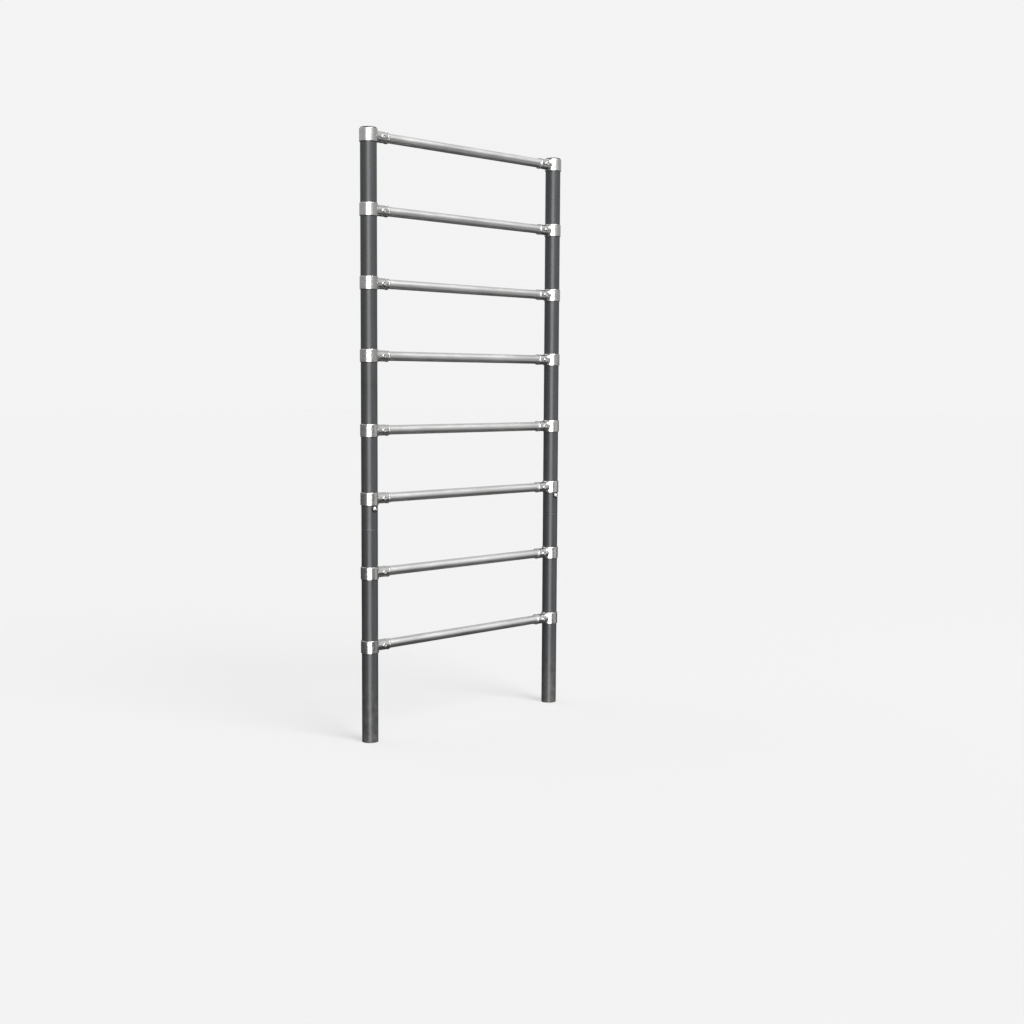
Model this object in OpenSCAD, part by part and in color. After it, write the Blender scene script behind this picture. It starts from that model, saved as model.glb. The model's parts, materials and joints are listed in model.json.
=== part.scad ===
// Outdoor climbing ladder: two posts set in the ground carry eight level rungs, and
// each rung is held at both ends in a tee clamp.
// Millimetres, +Z up. The origin is at ground level, midway between the post axes.
// X runs along the rungs, and the side with the joint bolts and rung screws faces -Y.

/* [Frame] */
// Distance between the two post axes
post_spacing = 960; // [800:10:1200]
// Length of each post that is set below ground level
buried_depth = 600; // [400:10:800]
// Outside diameter of the posts
post_od = 60.3; // [55:0.1:70]
// Wall thickness of the posts
post_wall = 2.9; // [2:0.1:4]

/* [Rungs] */
// Outside diameter of the rungs
rung_od = 34.9; // [30:0.1:38]
// Wall thickness of the rungs
rung_wall = 2.5; // [1.5:0.1:4]
// Height of the lowest rung above ground level
first_rung_height = 356; // [300:1:400]
// Gap between neighbours among the three lowest rungs
lower_gap = 273; // [240:1:300]
// Gap above the third rung, which sits just over the joint bolt
joint_gap = 249; // [220:1:300]
// Gap between the fourth and fifth rungs
middle_gap = 270; // [220:1:300]
// Gap between neighbours among the four highest rungs
upper_gap = 260.5; // [220:0.5:300]

/* [Clamps] */
// Height of the collar round the post
collar_height = 46; // [44:0.5:60]
// Wall thickness of the collar
collar_wall = 2.8; // [2.5:0.1:5]
// Distance from the post axis to the open end of the rung socket
socket_reach = 84.5; // [82:0.5:100]
// Wall thickness of the rung socket
socket_wall = 2.6; // [2:0.1:4]
// Nominal diameter of the set screws
set_screw_d = 8; // [6:1:10]

/* [Post joint] */
// Nominal diameter of the joint bolts
joint_bolt_d = 10; // [8:1:12]
// Distance from the joint bolt down to the seam between the post sections
seam_drop = 76; // [60:1:90]
// Length of the joiner inside each post section
joiner_grip = 130; // [100:5:150]
// Wall thickness of the joiner
joiner_wall = 3; // [2:0.1:4]

/* [Hidden] */
$fn = 96;
cut = 1;              // how far a cutter runs past the face it opens
fit_gap = 0.2;        // radial clearance of a clamp on its tube
slide_gap = 0.1;      // radial clearance of a piece inside a tube
thread_gap = 0.05;    // radial clearance of a screw in its plain-cut hole

// Rungs and clamps are numbered upwards from the ground
gaps = [lower_gap, lower_gap, joint_gap, middle_gap, upper_gap, upper_gap, upper_gap];
rung_count = len(gaps) + 1;
function rung_height(n) = n == 1 ? first_rung_height : rung_height(n - 1) + gaps[n - 2];

// Posts
post_r = post_od / 2;
bore_r = post_r - post_wall;
post_top = rung_height(rung_count) + collar_height / 2;
mark_depth = 0.4;     // ground-level groove that installers line up with the surface
mark_width = 2;
seam_gap = 0.8;
joint_rung = 3;
washer_od = 2.45 * joint_bolt_d;
washer_face = post_r + 1.6;
washer_clearance = 0.75;
bolt_height = rung_height(joint_rung) - collar_height / 2 - washer_od / 2 - washer_clearance;
seam_height = bolt_height - seam_drop;
joiner_r = bore_r - slide_gap;
joiner_bore_r = joiner_r - joiner_wall;

// Joint bolt and its nut
head_d = 1.75 * joint_bolt_d;
head_height = 0.55 * joint_bolt_d;
head_dome_r = 1.2 * joint_bolt_d;
head_key = 0.6 * joint_bolt_d;
nut_flats = 1.7 * joint_bolt_d;
nut_height = 0.8 * joint_bolt_d;
nut_corner_r = nut_flats / 2 / cos(30);
nut_seat = sqrt(pow(joiner_bore_r, 2) - pow(nut_corner_r, 2)) - slide_gap;
bolt_end = nut_seat - nut_height - 2;

// Clamps
collar_bore_r = post_r + fit_gap;
collar_r = collar_bore_r + collar_wall;
collar_edge = 1;
socket_bore_r = rung_od / 2 + fit_gap;
socket_r = socket_bore_r + socket_wall;
socket_floor = collar_r + 0.2;
lip_r = socket_r + 1.3;
lip_length = 6;
neck_r = socket_r + 1.9;
neck_reach = collar_r + 6;
boss_d = set_screw_d + 6;
boss_rise = 3.5;
rung_screw_reach = socket_reach - 29.5;
rung_boss_face = socket_r + boss_rise;
collar_boss_face = collar_r + boss_rise;
screw_inset = 0.6;
set_key = set_screw_d / 2;

// Rungs
rung_stop = socket_floor + 0.8;
rung_length = post_spacing - 2 * rung_stop;

// Caps and foot plugs
cap_height = 6;
cap_edge = 3.5;
cap_dome = 1.2;
plug_depth = 22;
plug_skirt_wall = 2;
fin_height = 1.2;
fin_count = 3;
fin_pitch = 6;
foot_height = 4;
foot_inset = 0.75;
foot_edge = 1;

post_colour = [0.24, 0.26, 0.28];
silver = [0.80, 0.80, 0.80];
bright = [0.86, 0.86, 0.84];
cap_colour = [0.30, 0.31, 0.32];
washer_colour = [0.12, 0.12, 0.13];

LEFT = -1;
RIGHT = 1;

// Places its children on a post axis, turned so that +X points to the other post
module at_post(side) {
    translate([side * post_spacing / 2, 0, 0])
        mirror([side == RIGHT ? 1 : 0, 0, 0])
            children();
}

// Turns a shape built along +Z to lie along -Y, the side of the joint bolts
module facing_front() {
    rotate([90, 0, 0]) children();
}

// Turns a shape built along +Z to lie along +Y
module facing_back() {
    rotate([-90, 0, 0]) children();
}

// Turns a shape built along +Z to lie along +X
module along_x() {
    rotate([0, 90, 0]) children();
}

module tube(outer_r, inner_r, length) {
    difference() {
        cylinder(r = outer_r, h = length);
        translate([0, 0, -cut]) cylinder(r = inner_r, h = length + 2 * cut);
    }
}

module hex_recess(flats, depth) {
    translate([0, 0, -depth]) cylinder(d = flats / cos(30), h = depth + cut, $fn = 6);
}

// Cylinder standing on its base with both outer edges chamfered
module chamfered_disc(r, height, edge) {
    rotate_extrude()
        polygon([
            [0, 0], [r - edge, 0], [r, edge],
            [r, height - edge], [r - edge, height], [0, height]
        ]);
}

// ---- Posts ----

module post_upper(side) {
    bottom = seam_height + seam_gap / 2;
    color(post_colour) at_post(side)
        difference() {
            translate([0, 0, bottom]) tube(post_r, bore_r, post_top - bottom);
            translate([0, 0, bolt_height]) facing_front() cylinder(d = joint_bolt_d + 1, h = post_od);
        }
}

module post_lower(side) {
    top = seam_height - seam_gap / 2;
    color(post_colour) at_post(side)
        difference() {
            translate([0, 0, -buried_depth]) tube(post_r, bore_r, top + buried_depth);
            translate([0, 0, -mark_width]) tube(post_od, post_r - mark_depth, mark_width);
        }
}

// Sleeve inside the post that joins its two sections
module post_joiner(side) {
    color(silver) at_post(side)
        difference() {
            translate([0, 0, seam_height - joiner_grip])
                tube(joiner_r, joiner_bore_r, 2 * joiner_grip);
            translate([0, 0, bolt_height]) facing_front() cylinder(d = joint_bolt_d + 1, h = post_od);
        }
}

// Hollow skirt with grip fins, hanging below z = 0 inside a tube
module plug_skirt() {
    skirt_r = bore_r - fin_height - slide_gap;
    translate([0, 0, -plug_depth]) {
        tube(skirt_r, skirt_r - plug_skirt_wall, plug_depth);
        for (fin = [0 : fin_count - 1])
            translate([0, 0, 2 + fin * fin_pitch])
                tube(bore_r - slide_gap, skirt_r - plug_skirt_wall / 2, fin_height);
    }
}

// Rounded profile of the cap: flat base, round shoulder and a slightly crowned top
module cap_profile() {
    shoulder = cap_height - cap_dome - cap_edge;
    polygon(concat(
        [[0, 0], [post_r, 0]],
        [for (a = [0 : 15 : 90])
            [post_r - cap_edge + cap_edge * cos(a), shoulder + cap_edge * sin(a)]],
        [[post_r / 2, cap_height - cap_dome / 4], [0, cap_height]]
    ));
}

module post_cap(side) {
    color(cap_colour) at_post(side) translate([0, 0, post_top]) {
        rotate_extrude() cap_profile();
        plug_skirt();
    }
}

module foot_plug(side) {
    color(cap_colour) at_post(side) translate([0, 0, -buried_depth]) mirror([0, 0, 1]) {
        chamfered_disc(post_r - foot_inset, foot_height, foot_edge);
        plug_skirt();
    }
}

// ---- Post joint fasteners ----

// Button-head screw with a domed head and a hexagon socket
module joint_bolt(side) {
    color(bright) at_post(side) translate([0, 0, bolt_height]) facing_front()
        difference() {
            union() {
                translate([0, 0, washer_face]) intersection() {
                    cylinder(d = head_d, h = head_height);
                    translate([0, 0, head_height - head_dome_r]) sphere(r = head_dome_r);
                }
                translate([0, 0, bolt_end]) cylinder(d = joint_bolt_d, h = washer_face - bolt_end);
            }
            translate([0, 0, washer_face + head_height]) hex_recess(head_key, head_height * 0.6);
        }
}

// Saddle washer: flat under the bolt head, hollowed to sit on the round post
module joint_washer(side) {
    color(washer_colour) at_post(side) translate([0, 0, bolt_height])
        difference() {
            facing_front() cylinder(d = washer_od, h = washer_face);
            translate([0, 0, -washer_od]) cylinder(r = post_r, h = 2 * washer_od);
            facing_front() cylinder(d = joint_bolt_d + 2 * slide_gap, h = washer_face + cut);
        }
}

// Hexagon weld nut inside the joiner
module joint_nut(side) {
    color(silver) at_post(side) translate([0, 0, bolt_height]) facing_front()
        translate([0, 0, nut_seat - nut_height]) difference() {
            cylinder(r = nut_corner_r, h = nut_height, $fn = 6);
            translate([0, 0, -cut]) cylinder(d = joint_bolt_d + 2 * thread_gap, h = nut_height + 2 * cut);
        }
}

// ---- Clamps ----

// Tee clamp: a collar round the post with a blind socket for the rung
module clamp_body() {
    translate([0, 0, -collar_height / 2]) chamfered_disc(collar_r, collar_height, collar_edge);
    along_x() cylinder(r = socket_r, h = socket_reach);
    along_x() translate([0, 0, socket_reach - lip_length]) chamfered_disc(lip_r, lip_length, collar_edge);
    along_x() cylinder(r = neck_r, h = collar_r);
    along_x() translate([0, 0, collar_r]) cylinder(r1 = neck_r, r2 = socket_r, h = neck_reach - collar_r);
    translate([rung_screw_reach, 0, 0]) facing_front() cylinder(d = boss_d, h = rung_boss_face);
    facing_back() cylinder(d = boss_d, h = collar_boss_face);
}

module clamp_bores() {
    screw_hole_r = set_screw_d / 2 + thread_gap;
    translate([0, 0, -collar_height]) cylinder(r = collar_bore_r, h = 2 * collar_height);
    along_x() translate([0, 0, socket_floor]) cylinder(r = socket_bore_r, h = socket_reach);
    translate([rung_screw_reach, 0, 0]) facing_front() cylinder(r = screw_hole_r, h = rung_boss_face + cut);
    facing_back() cylinder(r = screw_hole_r, h = collar_boss_face + cut);
}

module clamp(side, n) {
    color(silver) at_post(side) translate([0, 0, rung_height(n)])
        difference() {
            clamp_body();
            clamp_bores();
        }
}

// ---- Rungs ----

module rung(n) {
    color(silver) translate([-rung_length / 2, 0, rung_height(n)]) along_x()
        tube(rung_od / 2, rung_od / 2 - rung_wall, rung_length);
}

// ---- Set screws ----

// Cup-point set screw from the tube it bites on to just inside the boss face
module set_screw(tube_r, boss_face) {
    difference() {
        translate([0, 0, tube_r])
            chamfered_disc(set_screw_d / 2, boss_face - screw_inset - tube_r, 0.5);
        translate([0, 0, boss_face - screw_inset]) hex_recess(set_key, set_key * 0.7);
    }
}

// One screw in each rung socket of one post
module rung_screws(side) {
    color(bright) at_post(side)
        for (n = [1 : rung_count])
            translate([rung_screw_reach, 0, rung_height(n)]) facing_front()
                set_screw(rung_od / 2, rung_boss_face);
}

// One screw in the back of each collar of one post
module collar_screws(side) {
    color(bright) at_post(side)
        for (n = [1 : rung_count])
            translate([0, 0, rung_height(n)]) facing_back()
                set_screw(post_r, collar_boss_face);
}

post_upper(LEFT);  // post_upper_left
post_upper(RIGHT);  // post_upper_right
post_lower(LEFT);  // post_lower_left
post_lower(RIGHT);  // post_lower_right
post_joiner(LEFT);  // post_joiner_left
post_joiner(RIGHT);  // post_joiner_right
post_cap(LEFT);  // post_cap_left
post_cap(RIGHT);  // post_cap_right
foot_plug(LEFT);  // foot_plug_left
foot_plug(RIGHT);  // foot_plug_right
joint_bolt(LEFT);  // joint_bolt_left
joint_bolt(RIGHT);  // joint_bolt_right
joint_washer(LEFT);  // joint_washer_left
joint_washer(RIGHT);  // joint_washer_right
joint_nut(LEFT);  // joint_nut_left
joint_nut(RIGHT);  // joint_nut_right
clamp(LEFT, 1);  // clamp_left_1
clamp(LEFT, 2);  // clamp_left_2
clamp(LEFT, 3);  // clamp_left_3
clamp(LEFT, 4);  // clamp_left_4
clamp(LEFT, 5);  // clamp_left_5
clamp(LEFT, 6);  // clamp_left_6
clamp(LEFT, 7);  // clamp_left_7
clamp(LEFT, 8);  // clamp_left_8
clamp(RIGHT, 1);  // clamp_right_1
clamp(RIGHT, 2);  // clamp_right_2
clamp(RIGHT, 3);  // clamp_right_3
clamp(RIGHT, 4);  // clamp_right_4
clamp(RIGHT, 5);  // clamp_right_5
clamp(RIGHT, 6);  // clamp_right_6
clamp(RIGHT, 7);  // clamp_right_7
clamp(RIGHT, 8);  // clamp_right_8
rung(1);  // rung_1
rung(2);  // rung_2
rung(3);  // rung_3
rung(4);  // rung_4
rung(5);  // rung_5
rung(6);  // rung_6
rung(7);  // rung_7
rung(8);  // rung_8
rung_screws(LEFT);  // rung_screws_left
rung_screws(RIGHT);  // rung_screws_right
collar_screws(LEFT);  // collar_screws_left
collar_screws(RIGHT);  // collar_screws_right
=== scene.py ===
import json
import math

import bmesh
import bpy
from mathutils import Matrix, Vector


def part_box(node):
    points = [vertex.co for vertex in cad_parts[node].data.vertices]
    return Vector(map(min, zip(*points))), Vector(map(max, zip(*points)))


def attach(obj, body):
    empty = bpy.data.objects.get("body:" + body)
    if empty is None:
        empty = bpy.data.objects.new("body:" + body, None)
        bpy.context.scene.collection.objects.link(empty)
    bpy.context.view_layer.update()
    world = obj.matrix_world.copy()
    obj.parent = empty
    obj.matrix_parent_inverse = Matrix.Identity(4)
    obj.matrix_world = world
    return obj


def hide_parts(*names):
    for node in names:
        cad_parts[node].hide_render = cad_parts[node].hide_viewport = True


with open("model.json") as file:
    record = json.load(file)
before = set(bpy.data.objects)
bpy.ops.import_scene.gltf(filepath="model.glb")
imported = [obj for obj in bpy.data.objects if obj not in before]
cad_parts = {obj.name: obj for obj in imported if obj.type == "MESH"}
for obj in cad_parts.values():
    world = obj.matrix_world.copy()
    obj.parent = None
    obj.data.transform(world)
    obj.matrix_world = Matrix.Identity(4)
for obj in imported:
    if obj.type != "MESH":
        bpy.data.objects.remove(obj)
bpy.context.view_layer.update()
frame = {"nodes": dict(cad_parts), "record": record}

# Shapes are worked out in millimetres and turned to metres when a mesh is made.
MM = 0.001
SIDES = ("left", "right")
RUNGS = range(1, 9)


def cad_box(node):
    """Lowest and highest corner of a CAD node in millimetres."""
    low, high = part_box(node)
    return low / MM, high / MM


# ---------------------------------------------------------------- sizes

upper_low, upper_high = cad_box("post_upper_left")
lower_low, lower_high = cad_box("post_lower_left")
clamp_low, clamp_high = cad_box("clamp_left_1")
rung_low, rung_high = cad_box("rung_1")
bolt_low, bolt_high = cad_box("joint_bolt_left")
washer_low, washer_high = cad_box("joint_washer_left")

POST_X = {side: sum(corner.x for corner in cad_box("post_upper_" + side)) / 2 for side in SIDES}
POST_R = (upper_high.x - upper_low.x) / 2
POST_WALL = 2.9
FIT_GAP = 0.2
RUNG_R = (rung_high.z - rung_low.z) / 2
RUNG_WALL = 2.5
RUNG_Z = {n: sum(corner.z for corner in cad_box(f"rung_{n}")) / 2 for n in RUNGS}

COLLAR_HALF = (clamp_high.z - clamp_low.z) / 2
COLLAR_R = POST_X["left"] - clamp_low.x
COLLAR_BORE_R = POST_R + FIT_GAP
COLLAR_BOSS_FACE = clamp_high.y
SOCKET_REACH = clamp_high.x - POST_X["left"]
SOCKET_BORE_R = RUNG_R + FIT_GAP
SOCKET_WALL = 2.6
SOCKET_R = SOCKET_BORE_R + SOCKET_WALL
SOCKET_FLOOR = COLLAR_R + 0.2
LIP_R = SOCKET_R + 1.3
LIP_LENGTH = 6
SCREW_X = SOCKET_REACH - 29.5
SCREW_R = 4
SCREW_INSET = 0.6
SCREW_KEY_DEPTH = 2.6
BOSS_R = 7
BOSS_RISE = 3.5
BOSS_FILLET = 1.3
RUNG_BOSS_FACE = SOCKET_R + BOSS_RISE

BOLT_Z = (bolt_high.z + bolt_low.z) / 2
BOLT_HEAD_R = (bolt_high.z - bolt_low.z) / 2
BOLT_HEAD_FACE = -bolt_low.y
BOLT_END = -bolt_high.y
BOLT_R = 5
BOLT_DOME_R = 2.4 * BOLT_R
BOLT_KEY_DEPTH = 3.2
DOME_STEPS = 10
WASHER_FACE = -washer_low.y
WASHER_R = (washer_high.z - washer_low.z) / 2
WASHER_EDGE = 0.5

GROUND_MARK = (-2, 0, 0.4)            # bottom, top and depth of the groove at ground level
CAP_PLUG_GAP = 1.3
CAP_PLUG_WALL = 2
CAP_CROWN = 1.2
CAP_RIM_ROUND = 3.4
CAP_FINS = 3
CAP_FIN_PITCH = 6
CAP_FIN_REACH = 1.2

# ---------------------------------------------------------------- mesh tools

GUARD = 0.4          # distance of the ring that keeps a flat face flat beside a rounded edge
ROUND_STEPS = 4
ROUND_SEGMENTS = 96
PATCH_STEPS = 4
SHARP_ANGLE = math.radians(40)


class Shell:
    """Collects rings of points into one closed mesh."""

    def __init__(self):
        self.points = []
        self.faces = []

    def strip(self, rings, keep=lambda row, column: True):
        """Joins each closed ring to the next with quads, apart from those that keep leaves out."""
        count = len(rings[0])
        start = len(self.points)
        for ring in rings:
            self.points.extend(ring)
        for row in range(len(rings) - 1):
            for column in range(count):
                if not keep(row, column):
                    continue
                a = start + row * count + column
                b = start + row * count + (column + 1) % count
                self.faces.append((a, b, b + count, a + count))

    def cap(self, ring):
        """Closes a ring with a fan of triangles round its middle."""
        start = len(self.points)
        self.points.extend(ring)
        self.points.append(sum(ring, Vector()) / len(ring))
        for column in range(len(ring)):
            self.faces.append((start + column, start + (column + 1) % len(ring), start + len(ring)))

    def mesh(self, name):
        """Welds the rings and returns a smooth-shaded mesh in metres."""
        work = bmesh.new()
        verts = [work.verts.new(point * MM) for point in self.points]
        for face in self.faces:
            work.faces.new([verts[index] for index in face])
        bmesh.ops.remove_doubles(work, verts=work.verts, dist=0.002 * MM)
        bmesh.ops.recalc_face_normals(work, faces=work.faces)
        mesh = bpy.data.meshes.new(name)
        work.to_mesh(mesh)
        work.free()
        mesh.polygons.foreach_set("use_smooth", [True] * len(mesh.polygons))
        mesh.set_sharp_from_angle(angle=SHARP_ANGLE)
        return mesh


def round_corners(corners, radii, closed=False):
    """Outline through the corners with each one rounded, and a guard point beside every round."""
    count = len(corners)
    outline = []
    for index, (corner, radius) in enumerate(zip(corners, radii)):
        point = Vector(corner)
        if radius == 0 or (not closed and index in (0, count - 1)):
            outline.append(point)
            continue
        back = Vector(corners[index - 1]) - point
        ahead = Vector(corners[(index + 1) % count]) - point
        half = back.angle(ahead) / 2
        reach = radius / math.tan(half)
        middle = (back.normalized() + ahead.normalized()).normalized()
        centre = point + middle * radius / math.sin(half)
        start = point + back.normalized() * reach
        end = point + ahead.normalized() * reach
        if back.length > 2 * (reach + GUARD):
            outline.append(start + back.normalized() * GUARD)
        for step in range(ROUND_STEPS + 1):
            turn = (start - centre).slerp(end - centre, step / ROUND_STEPS)
            outline.append(centre + turn.normalized() * radius)
        if ahead.length > 2 * (reach + GUARD):
            outline.append(end + ahead.normalized() * GUARD)
    return outline


def even_angles(count):
    return [2 * math.pi * step / count for step in range(count)]


def ring_rows(outline, angles, place):
    """One ring for each (radius, height) of the outline, put in its place by place(t, u, n)."""
    return [[place(r * math.cos(a), r * math.sin(a), h) for a in angles] for r, h in outline]


def upright(x=0, y=0, z=0):
    """place() for a shape whose axis is +Z."""
    return lambda t, u, n: Vector((x + t, y + u, z + n))


def hexagon_radius(flats, angle):
    """Distance from a hexagon's middle to its outline."""
    sector = math.radians(60)
    return flats / 2 / math.cos((angle % sector) - sector / 2)


# ---------------------------------------------------------------- tubes, caps and bolts


def tube_mesh(name, outer, inner, start, end, place, groove=None):
    """Round tube with softly broken ends, and a shallow groove where one is given."""
    corners = [(outer, start)]
    radii = [0.6]
    if groove:
        low, high, depth = groove
        corners += [(outer, low), (outer - depth, low), (outer - depth, high), (outer, high)]
        radii += [0.15] * 4
    corners += [(outer, end), (inner, end), (inner, start)]
    radii += [0.6, 0.6, 0.6]
    outline = round_corners(corners, radii, closed=True)
    shell = Shell()
    shell.strip(ring_rows(outline + outline[:1], even_angles(ROUND_SEGMENTS), place))
    return shell.mesh(name)


def post_meshes(side):
    """The two sections of one post."""
    stand = upright(POST_X[side])
    bore = POST_R - POST_WALL
    upper = tube_mesh("post_upper_" + side + "_mesh", POST_R, bore, upper_low.z, upper_high.z, stand)
    lower = tube_mesh("post_lower_" + side + "_mesh", POST_R, bore, lower_low.z, lower_high.z, stand,
                      GROUND_MARK)
    return upper, lower


def rung_mesh(n):
    low, high = cad_box(f"rung_{n}")
    height = RUNG_Z[n]
    return tube_mesh(
        f"rung_{n}_mesh", RUNG_R, RUNG_R - RUNG_WALL, low.x, high.x,
        lambda t, u, n: Vector((n, t, height + u)),
    )


def cap_mesh(side):
    """Moulded cap: rounded rim, shallow crown with a raised centre, and a finned skirt in the tube."""
    low, high = cad_box("post_cap_" + side)
    base = upper_high.z
    top = high.z
    skirt = POST_R - POST_WALL - CAP_PLUG_GAP
    fins = []
    for fin in range(CAP_FINS):
        z = low.z + 2 + CAP_FIN_PITCH * fin
        reach = skirt + CAP_FIN_REACH
        fins += [(skirt, z), (reach, z + 0.3), (reach, z + 0.9), (skirt, z + 1.2)]
    corners = [(skirt - CAP_PLUG_WALL, low.z), (skirt, low.z)] + fins
    corners += [(skirt, base), (POST_R, base), (POST_R, top - CAP_CROWN), (0.4, top), (0.05, top)]
    radii = [0.4, 0.4] + [0.2] * len(fins) + [0.3, 0.3, CAP_RIM_ROUND, 0, 0]
    shell = Shell()
    angles = even_angles(ROUND_SEGMENTS)
    rows = ring_rows(round_corners(corners, radii), angles, upright(POST_X[side]))
    shell.strip(rows)
    shell.cap(rows[-1])
    hollow = skirt - CAP_PLUG_WALL
    inside = ring_rows([(hollow, low.z), (hollow, base + 1.5), (0.4, base + 1.5)], angles,
                       upright(POST_X[side]))
    shell.strip(inside)
    shell.cap(inside[-1])
    return shell.mesh("post_cap_" + side + "_mesh")


def add_key_socket(shell, rim, face, flats, depth, angles, place):
    """Countersunk hexagon socket that goes down from a ring on the end face."""
    lead = [place(rim * math.cos(a), rim * math.sin(a), face - 0.4) for a in angles]
    mouth_drop = 0.9

    def hexagon(n, scale=1):
        size = [scale * hexagon_radius(flats, a) for a in angles]
        return [place(r * math.cos(a), r * math.sin(a), n) for r, a in zip(size, angles)]

    rows = [lead, hexagon(face - mouth_drop), hexagon(face - mouth_drop - 0.3), hexagon(face - depth + 0.3),
            hexagon(face - depth), hexagon(face - depth - 0.6, 0.3)]
    shell.strip(rows)
    shell.cap(rows[-1])
    return lead


def joint_bolt_mesh(side):
    """Button-head screw: domed head with a hexagon socket, and its shank."""
    angles = even_angles(72)
    flats = 1.2 * BOLT_R
    rim = flats / 2 / math.cos(math.radians(30)) + 0.35

    def place(t, u, n):
        return Vector((POST_X[side] + t, -n, BOLT_Z + u))

    dome = [(BOLT_R, BOLT_END + 1), (BOLT_R, WASHER_FACE)]
    crown = math.sqrt(BOLT_DOME_R ** 2 - BOLT_HEAD_R ** 2)
    drop = BOLT_DOME_R - crown
    edge = BOLT_HEAD_FACE - drop
    dome += [(BOLT_HEAD_R - 0.3, WASHER_FACE), (BOLT_HEAD_R, WASHER_FACE + 0.3), (BOLT_HEAD_R, edge - 0.3)]
    start = math.asin(BOLT_HEAD_R / BOLT_DOME_R)
    end = math.asin((rim + 0.35) / BOLT_DOME_R)
    for step in range(DOME_STEPS + 1):
        a = start + (end - start) * step / DOME_STEPS
        dome.append((BOLT_DOME_R * math.sin(a), BOLT_HEAD_FACE - BOLT_DOME_R + BOLT_DOME_R * math.cos(a)))
    shell = Shell()
    tip = ring_rows([(BOLT_R - 1, BOLT_END)], angles, place)
    rows = tip + ring_rows(dome, angles, place)
    lead = add_key_socket(shell, rim, BOLT_HEAD_FACE, flats, BOLT_KEY_DEPTH, angles, place)
    shell.strip(rows + [lead])
    shell.cap(tip[0])
    return shell.mesh("joint_bolt_" + side + "_mesh")


def joint_washer_mesh(side):
    """Saddle washer: flat under the bolt head, hollowed underneath to sit on the post."""
    angles = even_angles(72)
    hole = BOLT_R + 0.1
    seat = POST_R + 0.02

    def place(t, u, n):
        return Vector((POST_X[side] + t, -n, BOLT_Z + u))

    def seat_ring(r):
        return [place(r * math.cos(a), r * math.sin(a), math.sqrt(seat ** 2 - (r * math.cos(a)) ** 2))
                for a in angles]

    top = [(hole, WASHER_FACE), (WASHER_R - WASHER_EDGE - GUARD, WASHER_FACE)]
    for step in range(ROUND_STEPS + 1):
        a = math.radians(90 * step / ROUND_STEPS)
        out = WASHER_R - WASHER_EDGE + WASHER_EDGE * math.sin(a)
        top.append((out, WASHER_FACE - WASHER_EDGE + WASHER_EDGE * math.cos(a)))
    under = [seat_ring(WASHER_R * (1 - share) + hole * share) for share in (0, 0.25, 0.5, 0.75, 1)]
    rows = ring_rows(top, angles, place) + under
    shell = Shell()
    shell.strip(rows + rows[:1])
    return shell.mesh("joint_washer_" + side + "_mesh")


def add_set_screw(shell, tip, end, place):
    """Cup-point set screw along place()'s n axis."""
    angles = even_angles(48)
    flats = SCREW_R
    rim = flats / 2 / math.cos(math.radians(30)) + 0.3
    body = [(SCREW_R * 0.45, tip + 0.8), (SCREW_R * 0.6, tip), (SCREW_R, tip + 1.2), (SCREW_R, end - 0.7),
            (SCREW_R - 0.15, end - 0.45), (SCREW_R - 0.6, end), (rim + 0.35, end)]
    rows = ring_rows(body, angles, place)
    lead = add_key_socket(shell, rim, end, flats, SCREW_KEY_DEPTH, angles, place)
    shell.strip(rows + [lead])
    shell.cap(rows[0])


def set_screws_mesh(kind, side):
    """All the set screws of one kind on one post, as separate closed islands."""
    shell = Shell()
    inward = 1 if side == "left" else -1
    for n in RUNGS:
        if kind == "rung":
            x = POST_X[side] + inward * SCREW_X
            add_set_screw(shell, RUNG_R, RUNG_BOSS_FACE - SCREW_INSET,
                          lambda t, u, h, x=x, z=RUNG_Z[n]: Vector((x + t, -h, z + u)))
        else:
            x = POST_X[side]
            add_set_screw(shell, POST_R, COLLAR_BOSS_FACE - SCREW_INSET,
                          lambda t, u, h, x=x, z=RUNG_Z[n]: Vector((x + t, h, z + u)))
    return shell.mesh(f"{kind}_screws_{side}_mesh")


# ---------------------------------------------------------------- tee clamp

COLLAR_STEP = 5                       # degrees between the collar's columns
SOCKET_WINDOW = 60                    # degrees each side of the socket's axis
BOSS_WINDOW = 25                      # degrees each side of the collar boss's axis
COLLAR_ROWS = 12
GRID_TOP = COLLAR_HALF - 1.1          # where the collar's rounded rim takes over
BOSS_ROWS = 8
BOSS_ROOM = 13                        # half length of the socket's window for the rung boss


def fillet_rings(main_r, branch_r, fillet, angles):
    """Rings of the rolling-ball fillet where a round branch leaves a wider cylinder.
    t is across the main cylinder, u along it, and n outwards along the branch."""
    rings = []
    for step in range(2 * ROUND_STEPS + 1):
        ring = []
        for angle in angles:
            ball = fillet(angle)
            across = Vector((math.cos(angle), math.sin(angle), 0))
            t = (branch_r + ball) * across.x
            centre = Vector((t, (branch_r + ball) * across.y, math.sqrt((main_r + ball) ** 2 - t * t)))
            to_main = Vector((-centre.x, 0, -centre.z)).normalized()
            ring.append(centre + ball * to_main.slerp(-across, step / (2 * ROUND_STEPS)))
        rings.append(ring)
    return rings


def window_edge(a_values, b_values):
    """Points round the edge of a rectangular grid window, each once."""
    edge = [(a, b_values[0]) for a in a_values[:-1]]
    edge += [(a_values[-1], b) for b in b_values[:-1]]
    edge += [(a, b_values[-1]) for a in reversed(a_values[1:])]
    edge += [(a_values[0], b) for b in reversed(b_values[1:])]
    return edge


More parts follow.
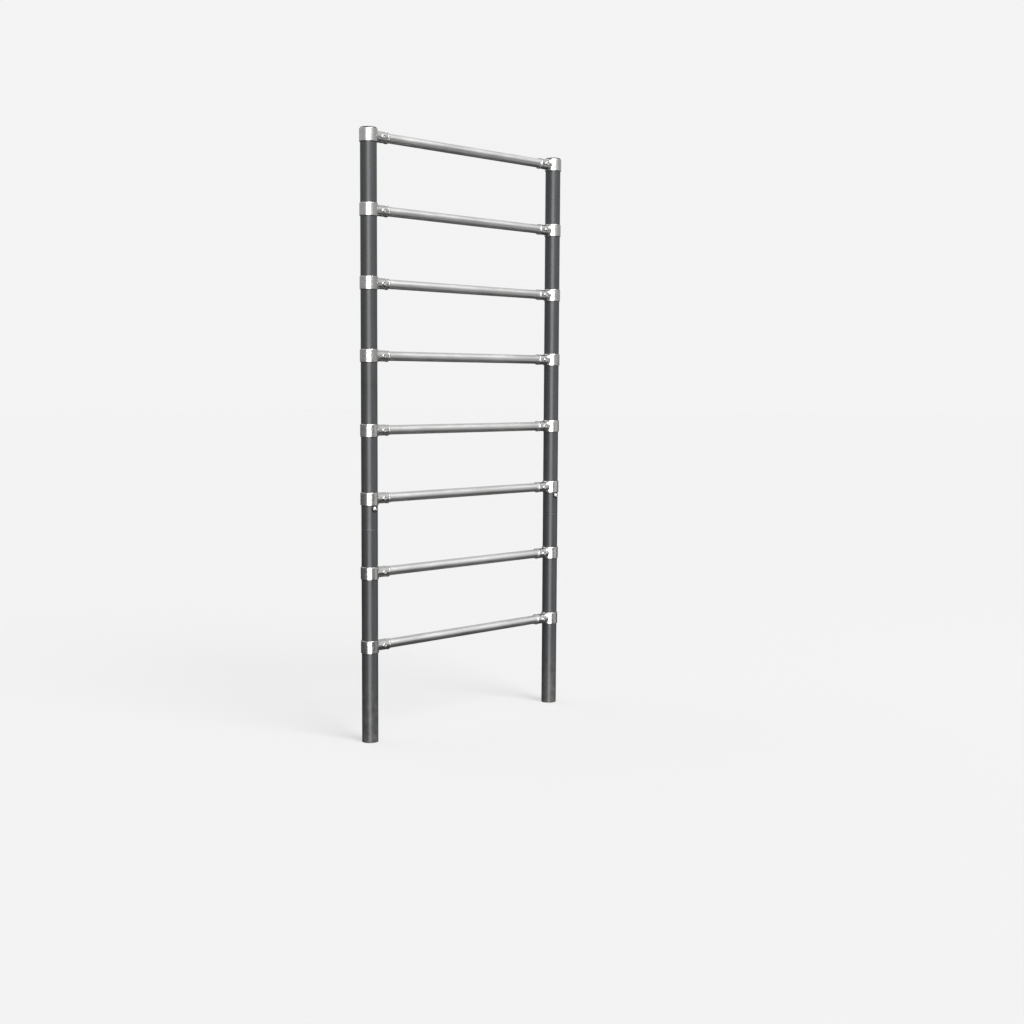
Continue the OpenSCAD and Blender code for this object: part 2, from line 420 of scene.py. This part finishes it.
def add_branch(shell, main_r, branch_r, fillet, place, a_values, b_values, outline):
    """Fills a window of a cylinder's grid with a branch: patch, fillet, then the branch's own outline.
    a is arc length round the main cylinder and b is length along it, both from the window's middle."""
    edge = window_edge(a_values, b_values)
    angles = [math.atan2(b / b_values[-1], a / a_values[-1]) for a, b in edge]
    fillets = fillet_rings(main_r, branch_r, fillet, angles)
    rows = []
    for step in range(PATCH_STEPS):
        share = step / PATCH_STEPS
        row = []
        for (a, b), foot in zip(edge, fillets[0]):
            foot_a = main_r * math.atan2(foot.x, foot.z)
            turn = (a + (foot_a - a) * share) / main_r
            row.append(place(main_r * math.sin(turn), b + (foot.y - b) * share, main_r * math.cos(turn)))
        rows.append(row)
    rows += [[place(*point) for point in ring] for ring in fillets]
    rows += ring_rows(outline, angles, place)
    shell.strip(rows)
    return angles, rows[-1]


def spread(low, high, count):
    return [low + (high - low) * step / count for step in range(count + 1)]


def boss_outline(face, floor):
    """Outline of a screw boss from just above its fillet, over its face and down the screw hole."""
    hole = SCREW_R + 0.05
    corners = [(BOSS_R, face - 1.6), (BOSS_R, face), (hole, face), (hole, floor)]
    return round_corners(corners, [0, 0.8, 0.4, 0])


def add_collar(shell):
    """Collar with windows for the socket and the boss, its rounded rims and its bore."""
    columns = [math.radians(step * COLLAR_STEP) for step in range(360 // COLLAR_STEP)]
    heights = spread(-GRID_TOP, GRID_TOP, COLLAR_ROWS)

    def solid(row, column):
        middle = (column + 0.5) * COLLAR_STEP
        in_socket = middle < SOCKET_WINDOW or middle > 360 - SOCKET_WINDOW
        return not in_socket and abs(middle - 90) > BOSS_WINDOW

    rows = [[Vector((COLLAR_R * math.cos(a), COLLAR_R * math.sin(a), z)) for a in columns] for z in heights]
    shell.strip(rows, solid)
    corners = [(COLLAR_R, GRID_TOP), (COLLAR_R, COLLAR_HALF), (COLLAR_BORE_R, COLLAR_HALF),
               (COLLAR_BORE_R, -COLLAR_HALF), (COLLAR_R, -COLLAR_HALF), (COLLAR_R, -GRID_TOP)]
    rim = round_corners(corners, [0, 0.9, 0.4, 0.4, 0.9, 0])
    shell.strip(ring_rows(rim, columns, upright()))
    return heights


def add_socket(shell, heights):
    """Rung socket: fillet at the collar, body with a window for the screw boss, lip, bore and floor."""
    half = math.radians(SOCKET_WINDOW)
    arcs = spread(-half * COLLAR_R, half * COLLAR_R, 2 * SOCKET_WINDOW // COLLAR_STEP)

    def place(t, u, n):
        return Vector((n, t, u))

    body_start = SCREW_X - BOSS_ROOM
    body_end = SCREW_X + BOSS_ROOM
    angles, _ = add_branch(
        shell, COLLAR_R, SOCKET_R, lambda a: 1.5 + 3.5 * math.cos(a) ** 2, place, arcs, heights,
        [(SOCKET_R, body_start - 2), (SOCKET_R, body_start)],
    )
    front = [column for column, angle in enumerate(angles) if abs(abs(angle) - math.pi) < math.radians(42)]

    def solid(row, column):
        return not (column in front and (column + 1) % len(angles) in front)

    body = [(SOCKET_R, x) for x in spread(body_start, body_end, BOSS_ROWS)]
    shell.strip(ring_rows(body, angles, place), solid)
    lip_start = SOCKET_REACH - LIP_LENGTH
    corners = [(SOCKET_R, body_end), (SOCKET_R, lip_start), (LIP_R, lip_start + 0.9), (LIP_R, SOCKET_REACH),
               (SOCKET_BORE_R, SOCKET_REACH), (SOCKET_BORE_R, SOCKET_FLOOR), (1, SOCKET_FLOOR)]
    rows = ring_rows(round_corners(corners, [0, 0.5, 0.5, 1, 0.6, 0.5, 0]), angles, place)
    shell.strip(rows)
    shell.cap(rows[-1])
    arcs = sorted(SOCKET_R * (math.pi - angles[column] % (2 * math.pi)) for column in front)
    reaches = spread(-BOSS_ROOM, BOSS_ROOM, BOSS_ROWS)
    _, hole = add_branch(
        shell, SOCKET_R, BOSS_R, lambda a: BOSS_FILLET, lambda t, u, n: Vector((SCREW_X + u, -n, t)),
        arcs, reaches, boss_outline(RUNG_BOSS_FACE, SOCKET_BORE_R + 0.25),
    )
    shell.cap(hole)


def clamp_mesh(name, side, n):
    """Tee clamp round the post, with its socket towards the other post."""
    shell = Shell()
    heights = add_collar(shell)
    add_socket(shell, heights)
    half = math.radians(BOSS_WINDOW)
    arcs = spread(-half * COLLAR_R, half * COLLAR_R, 2 * BOSS_WINDOW // COLLAR_STEP)
    _, hole = add_branch(
        shell, COLLAR_R, BOSS_R, lambda a: BOSS_FILLET, lambda t, u, n: Vector((-t, n, u)),
        arcs, heights, boss_outline(COLLAR_BOSS_FACE, COLLAR_BORE_R + 0.25),
    )
    shell.cap(hole)
    inward = 1 if side == "left" else -1
    shell.points = [Vector((POST_X[side] + inward * p.x, p.y, RUNG_Z[n] + p.z)) for p in shell.points]
    return shell.mesh(name)


# ---------------------------------------------------------------- materials


class Finish:
    """One procedural material, built up node by node on a Principled shader."""

    def __init__(self, name, metallic=0.0, **values):
        self.material = bpy.data.materials.new(name)
        self.material.use_nodes = True
        self.tree = self.material.node_tree
        self.shader = self.tree.nodes["Principled BSDF"]
        self.shader.inputs["Metallic"].default_value = metallic
        for socket, value in values.items():
            self.shader.inputs[socket.replace("_", " ")].default_value = value
        self.coordinates = self.tree.nodes.new("ShaderNodeTexCoord").outputs["Object"]

    def node(self, kind, inputs=None, **settings):
        made = self.tree.nodes.new(kind)
        for key, value in settings.items():
            setattr(made, key, value)
        for key, value in (inputs or {}).items():
            if isinstance(value, bpy.types.NodeSocket):
                self.tree.links.new(value, made.inputs[key])
            else:
                made.inputs[key].default_value = value
        return made

    def noise(self, scale, detail=4.0, stretch=(1, 1, 1), roughness=0.55):
        mapping = self.node("ShaderNodeMapping", {"Vector": self.coordinates, "Scale": stretch})
        made = self.node(
            "ShaderNodeTexNoise",
            {"Vector": mapping.outputs["Vector"], "Scale": scale, "Detail": detail, "Roughness": roughness},
        )
        return made.outputs["Fac"]

    def spots(self, scale):
        """Distance to the nearest of many scattered points."""
        made = self.node("ShaderNodeTexVoronoi", {"Vector": self.coordinates, "Scale": scale})
        return made.outputs["Distance"]

    def span(self, value, low, high, out_low, out_high):
        """Value mapped from one range to another and held inside it."""
        made = self.node(
            "ShaderNodeMapRange",
            {"Value": value, "From Min": low, "From Max": high, "To Min": out_low, "To Max": out_high},
        )
        return made.outputs["Result"]

    def maths(self, operation, a, b):
        made = self.node("ShaderNodeMath", {0: a, 1: b}, operation=operation)
        return made.outputs["Value"]

    def height(self):
        """Height above ground in metres."""
        return self.node("ShaderNodeSeparateXYZ", {"Vector": self.coordinates}).outputs["Z"]

    def mix(self, factor, first, second):
        made = self.node("ShaderNodeMix", data_type="RGBA")
        for index, value in ((0, factor), (6, first), (7, second)):
            if isinstance(value, bpy.types.NodeSocket):
                self.tree.links.new(value, made.inputs[index])
            elif index == 0:
                made.inputs[index].default_value = value
            else:
                made.inputs[index].default_value = (*value, 1)
        return made.outputs[2]

    def raised_edges(self, low, high):
        """1 on worn outer edges and 0 on flat faces."""
        return self.span(self.node("ShaderNodeNewGeometry").outputs["Pointiness"], low, high, 0, 1)

    def bump(self, height, distance, strength=1.0, under=None):
        inputs = {"Height": height, "Distance": distance, "Strength": strength}
        if under is not None:
            inputs["Normal"] = under
        return self.node("ShaderNodeBump", inputs).outputs["Normal"]

    def finish(self, colour, roughness, normal):
        links = self.tree.links
        links.new(colour, self.shader.inputs["Base Color"])
        links.new(roughness, self.shader.inputs["Roughness"])
        links.new(normal, self.shader.inputs["Normal"])
        return self.material


def powder_coat():
    """Anthracite powder coat: fine orange peel, faint mottling and a dusty band near the ground."""
    look = Finish("powder_coat", Specular_IOR_Level=0.5)
    mottle = look.noise(7, 5)
    fine = look.noise(900, 2)
    dust_line = look.span(look.height(), 0.0, 0.28, 1, 0)
    dust = look.maths("MULTIPLY", dust_line, look.span(look.noise(40, 6), 0.35, 0.75, 0, 0.5))
    paint = look.mix(look.span(mottle, 0.3, 0.7, 0, 1), (0.031, 0.033, 0.035), (0.040, 0.042, 0.045))
    worn = look.mix(look.raised_edges(0.53, 0.6), paint, (0.11, 0.115, 0.12))
    colour = look.mix(dust, worn, (0.16, 0.15, 0.13))
    streaks = look.noise(18, 5, (6, 6, 0.5))
    roughness = look.span(look.maths("ADD", streaks, fine), 0.6, 1.4, 0.27, 0.40)
    peel = look.bump(look.noise(420, 3), 0.00012)
    return look.finish(colour, roughness, look.bump(look.noise(60, 2), 0.0002, 0.35, peel))


def satin_tube():
    """Satin steel tube: fine lengthwise grain, soft cloudy polish and a few rubbed patches."""
    look = Finish("satin_tube", metallic=1.0)
    cloud = look.noise(9, 5)
    grain = look.noise(300, 3, (0.04, 1, 1), 0.7)
    colour = look.mix(look.span(cloud, 0.3, 0.7, 0, 1), (0.64, 0.64, 0.635), (0.73, 0.73, 0.725))
    rubbed = look.span(look.noise(5, 3, (1, 2, 2)), 0.45, 0.7, 0, 0.07)
    base = look.span(grain, 0.3, 0.7, 0.38, 0.47)
    roughness = look.maths("SUBTRACT", base, rubbed)
    return look.finish(colour, roughness, look.bump(grain, 0.00004, 0.7))


def cast_metal():
    """Polished casting: slow waviness, small pits and brighter rubbed edges."""
    look = Finish("cast_metal", metallic=1.0)
    cloud = look.noise(55, 6)
    pits = look.span(look.spots(420), 0.0, 0.25, 0, 1)
    body = look.mix(look.span(cloud, 0.3, 0.7, 0, 1), (0.64, 0.64, 0.63), (0.77, 0.77, 0.76))
    pitted = look.mix(pits, (0.42, 0.42, 0.41), body)
    colour = look.mix(look.raised_edges(0.52, 0.6), pitted, (0.88, 0.88, 0.87))
    roughness = look.span(look.noise(160, 5), 0.3, 0.7, 0.23, 0.33)
    wave = look.bump(look.noise(90, 2), 0.00012, 0.4)
    return look.finish(colour, roughness, look.bump(pits, 0.00006, 0.4, wave))


def bright_steel():
    """Bright stainless fastener with fine turning marks."""
    look = Finish("bright_steel", metallic=1.0)
    marks = look.noise(1500, 3, (1, 0.05, 1))
    colour = look.mix(look.span(look.noise(200, 3), 0.3, 0.7, 0, 1), (0.38, 0.38, 0.38), (0.48, 0.48, 0.475))
    worn = look.mix(look.raised_edges(0.52, 0.6), colour, (0.70, 0.70, 0.69))
    return look.finish(worn, look.span(marks, 0.3, 0.7, 0.34, 0.46), look.bump(marks, 0.00003, 0.6))


def zinc_steel():
    """Zinc-plated steel of the hidden joiner and nuts, with soft spangle."""
    look = Finish("zinc_steel", metallic=1.0)
    spangle = look.spots(120)
    colour = look.mix(look.span(spangle, 0.1, 0.7, 0, 1), (0.50, 0.52, 0.54), (0.66, 0.67, 0.68))
    roughness = look.span(look.noise(90, 4), 0.3, 0.7, 0.35, 0.55)
    return look.finish(colour, roughness, look.bump(look.noise(500, 3), 0.00005, 0.5))


def moulded_plastic(name, dark, light):
    """Moulded plastic: fine spark-eroded grain and slightly polished edges."""
    look = Finish(name, Specular_IOR_Level=0.25)
    body = look.mix(look.span(look.noise(30, 4), 0.3, 0.7, 0, 1), dark, light)
    rubbed = tuple(min(1, 1.6 * part) for part in light)
    colour = look.mix(look.raised_edges(0.52, 0.6), body, rubbed)
    roughness = look.span(look.noise(350, 4), 0.3, 0.7, 0.50, 0.66)
    return look.finish(colour, roughness, look.bump(look.noise(1400, 2), 0.00006, 0.7))


MATERIALS = {
    "post_paint": powder_coat(),
    "rung_metal": satin_tube(),
    "clamp_metal": cast_metal(),
    "fastener_steel": bright_steel(),
    "hidden_steel": zinc_steel(),
    "cap_plastic": moulded_plastic("cap_plastic", (0.014, 0.015, 0.016), (0.022, 0.023, 0.025)),
    "washer_plastic": moulded_plastic("washer_plastic", (0.010, 0.010, 0.011), (0.016, 0.016, 0.017)),
}
NODE_SLOTS = {part["node"]: part["material_slot"] for part in frame["record"]["subparts"]}

# ---------------------------------------------------------------- pieces


def show(node, mesh):
    """Puts a finished mesh in place of a CAD node, with that node's material slot."""
    piece = bpy.data.objects.new(node + "_finished", mesh)
    bpy.context.scene.collection.objects.link(piece)
    mesh.materials.append(MATERIALS[NODE_SLOTS[node]])
    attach(piece, "root")
    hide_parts(node)


for side in SIDES:
    upper, lower = post_meshes(side)
    show("post_upper_" + side, upper)
    show("post_lower_" + side, lower)
    show("post_cap_" + side, cap_mesh(side))
    show("joint_bolt_" + side, joint_bolt_mesh(side))
    show("joint_washer_" + side, joint_washer_mesh(side))
    show("rung_screws_" + side, set_screws_mesh("rung", side))
    show("collar_screws_" + side, set_screws_mesh("collar", side))
    for n in RUNGS:
        clamp = f"clamp_{side}_{n}"
        show(clamp, clamp_mesh(clamp + "_mesh", side, n))
for n in RUNGS:
    show(f"rung_{n}", rung_mesh(n))

# The hidden joiners, nuts and foot plugs keep their CAD shapes.
for node, piece in frame["nodes"].items():
    piece.data.materials.clear()
    piece.data.materials.append(MATERIALS[NODE_SLOTS[node]])

# ---------------------------------------------------------------- stage, light and camera

BACKDROP = 0.90       # brightness of the plain space behind the ladder
TURF = 0.05           # brightness of the ground in reflections
HORIZON = 0.40
ZENITH = 0.70
PAPER = 0.20          # how much of the lamps' light the floor gives back
PAPER_GLOW = 0.54     # even brightness the floor has without them


def add_floor(radius):
    """Plain pale floor that is seen but takes no part in reflections."""
    mesh = bpy.data.meshes.new("floor")
    work = bmesh.new()
    bmesh.ops.create_circle(work, cap_ends=True, segments=128, radius=radius)
    work.to_mesh(mesh)
    work.free()
    floor = bpy.data.objects.new("floor", mesh)
    bpy.context.scene.collection.objects.link(floor)
    material = bpy.data.materials.new("floor_paper")
    material.use_nodes = True
    paper = material.node_tree.nodes["Principled BSDF"]
    paper.inputs["Base Color"].default_value = (PAPER, PAPER, PAPER, 1)
    paper.inputs["Roughness"].default_value = 1
    paper.inputs["Specular IOR Level"].default_value = 0
    paper.inputs["Emission Color"].default_value = (1, 1, 1, 1)
    paper.inputs["Emission Strength"].default_value = PAPER_GLOW
    mesh.materials.append(material)
    floor.visible_diffuse = False
    floor.visible_glossy = False
    floor.visible_shadow = False


def add_sky():
    """Pale sky over dark turf for the reflections, and a plain background for the camera."""
    world = bpy.data.worlds.new("studio")
    world.use_nodes = True
    bpy.context.scene.world = world
    tree = world.node_tree
    sky = tree.nodes["Background"]
    direction = tree.nodes.new("ShaderNodeTexCoord").outputs["Generated"]
    split = tree.nodes.new("ShaderNodeSeparateXYZ")
    height = tree.nodes.new("ShaderNodeMapRange")
    height.inputs["From Min"].default_value = -1
    ramp = tree.nodes.new("ShaderNodeValToRGB")
    ramp.color_ramp.elements[0].position = 0.47
    ramp.color_ramp.elements[0].color = (TURF, TURF, TURF, 1)
    ramp.color_ramp.elements[1].position = 1
    ramp.color_ramp.elements[1].color = (ZENITH, ZENITH, ZENITH, 1)
    ramp.color_ramp.elements.new(0.53).color = (HORIZON, HORIZON, HORIZON, 1)
    plain = tree.nodes.new("ShaderNodeBackground")
    plain.inputs["Color"].default_value = (1, 1, 1, 1)
    plain.inputs["Strength"].default_value = BACKDROP
    camera_ray = tree.nodes.new("ShaderNodeLightPath").outputs["Is Camera Ray"]
    choice = tree.nodes.new("ShaderNodeMixShader")
    tree.links.new(direction, split.inputs[0])
    tree.links.new(split.outputs["Z"], height.inputs["Value"])
    tree.links.new(height.outputs["Result"], ramp.inputs["Fac"])
    tree.links.new(ramp.outputs["Color"], sky.inputs["Color"])
    tree.links.new(camera_ray, choice.inputs[0])
    tree.links.new(sky.outputs[0], choice.inputs[1])
    tree.links.new(plain.outputs[0], choice.inputs[2])
    tree.links.new(choice.outputs[0], tree.nodes["World Output"].inputs["Surface"])


def add_light(kind, name, azimuth, elevation, distance, energy):
    """Lamp that looks at the middle of the ladder from an azimuth, counted from -Y towards +X."""
    middle = Vector((0, 0, 1.2))
    turn, rise = math.radians(azimuth), math.radians(elevation)
    away = Vector((math.sin(turn) * math.cos(rise), -math.cos(turn) * math.cos(rise), math.sin(rise)))
    data = bpy.data.lights.new(name, kind)
    data.energy = energy
    light = bpy.data.objects.new(name, data)
    bpy.context.scene.collection.objects.link(light)
    place = Matrix.Translation(middle + away * distance)
    light.matrix_world = place @ (-away).to_track_quat("-Z", "Y").to_matrix().to_4x4()
    light.visible_camera = False
    return data


def add_sun(name, azimuth, elevation, strength, spread_deg):
    add_light("SUN", name, azimuth, elevation, 6, strength).angle = math.radians(spread_deg)


def add_soft_box(name, azimuth, elevation, distance, size, power):
    box = add_light("AREA", name, azimuth, elevation, distance, power)
    box.shape = "RECTANGLE"
    box.size, box.size_y = size


add_floor(60)
add_sky()
add_sun("key", 0, 42, 4.4, 34)
add_sun("front", -41.5, 0, 2.3, 44)
add_sun("back_fill", 200, 45, 0.8, 50)
add_soft_box("low_box", 45, -12, 3.6, (3.4, 1.6), 7)

CAMERA_PLACE = (-3.7484, -3.9954, 1.3245)
CAMERA_HEADING = math.radians(45.07)
CAMERA_PITCH = math.radians(5.21)
CAMERA_ROLL = math.radians(-0.34)

camera_data = bpy.data.cameras.new("camera")
camera_data.sensor_width = 36
camera_data.lens = 49.63
camera_data.clip_end = 200
camera = bpy.data.objects.new("camera", camera_data)
bpy.context.scene.collection.objects.link(camera)
camera.matrix_world = (
    Matrix.Translation(CAMERA_PLACE)
    @ Matrix.Rotation(-CAMERA_HEADING, 4, "Z")
    @ Matrix.Rotation(math.radians(90) - CAMERA_PITCH, 4, "X")
    @ Matrix.Rotation(-CAMERA_ROLL, 4, "Z")
)
bpy.context.scene.camera = camera
bpy.context.scene.view_settings.view_transform = "Standard"
